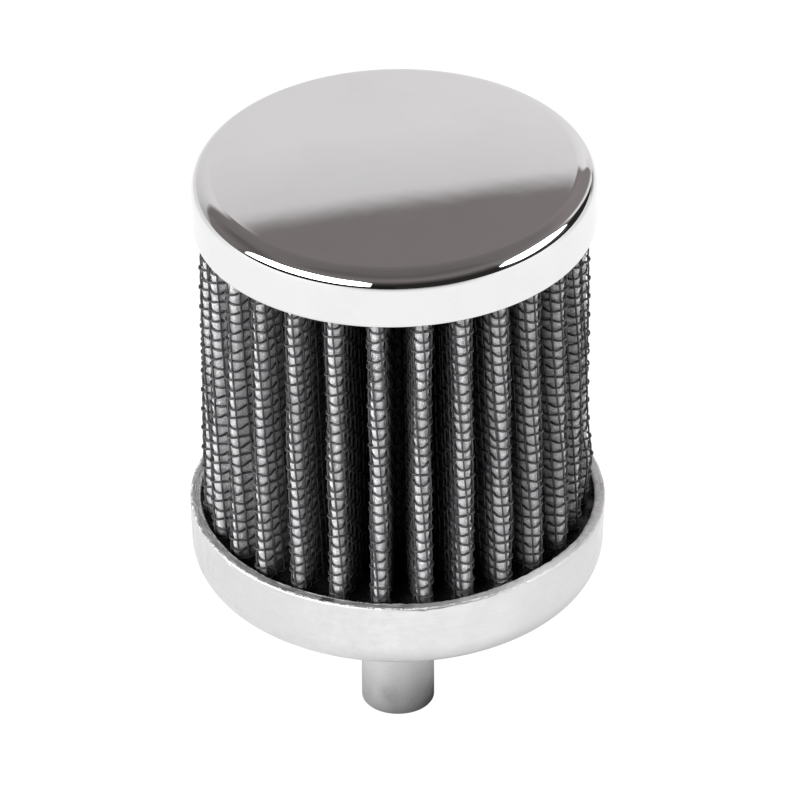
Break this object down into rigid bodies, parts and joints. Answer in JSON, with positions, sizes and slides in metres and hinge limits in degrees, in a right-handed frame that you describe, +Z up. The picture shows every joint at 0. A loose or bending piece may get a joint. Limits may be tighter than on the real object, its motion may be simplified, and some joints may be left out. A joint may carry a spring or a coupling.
{
  "type": "crankcase breather filter",
  "caption": "Round pleated breather filter: screened gauze element between a chromed cap and a metal base cup, with a plain hose spigot underneath.",
  "frame": {"origin": "on the spigot's axis, at the underside of the base cup, where the spigot's free length begins", "axes": "+Z up along the spigot's axis towards the cap, -Y towards the picture's camera, +X to its right"},
  "size_m": [0.054, 0.054, 0.0824],
  "materials": {
    "cap_chrome": "mirror plated, slight orange peel",
    "resin": "cast, glossy",
    "screen_wire": "dark coated wire cloth",
    "gauze": "woven cotton, light grey",
    "cup_metal": "satin, lightly mottled, rough-cut rim",
    "spigot_metal": "satin"
  },
  "bodies": {
    "root": {"top_cap": "cap_chrome", "top_potting": "resin", "outer_screen": "screen_wire", "gauze_media": "gauze", "inner_screen": "screen_wire", "bottom_potting": "resin", "base_cup": "cup_metal", "spigot": "spigot_metal"}
  },
  "joints": []
}
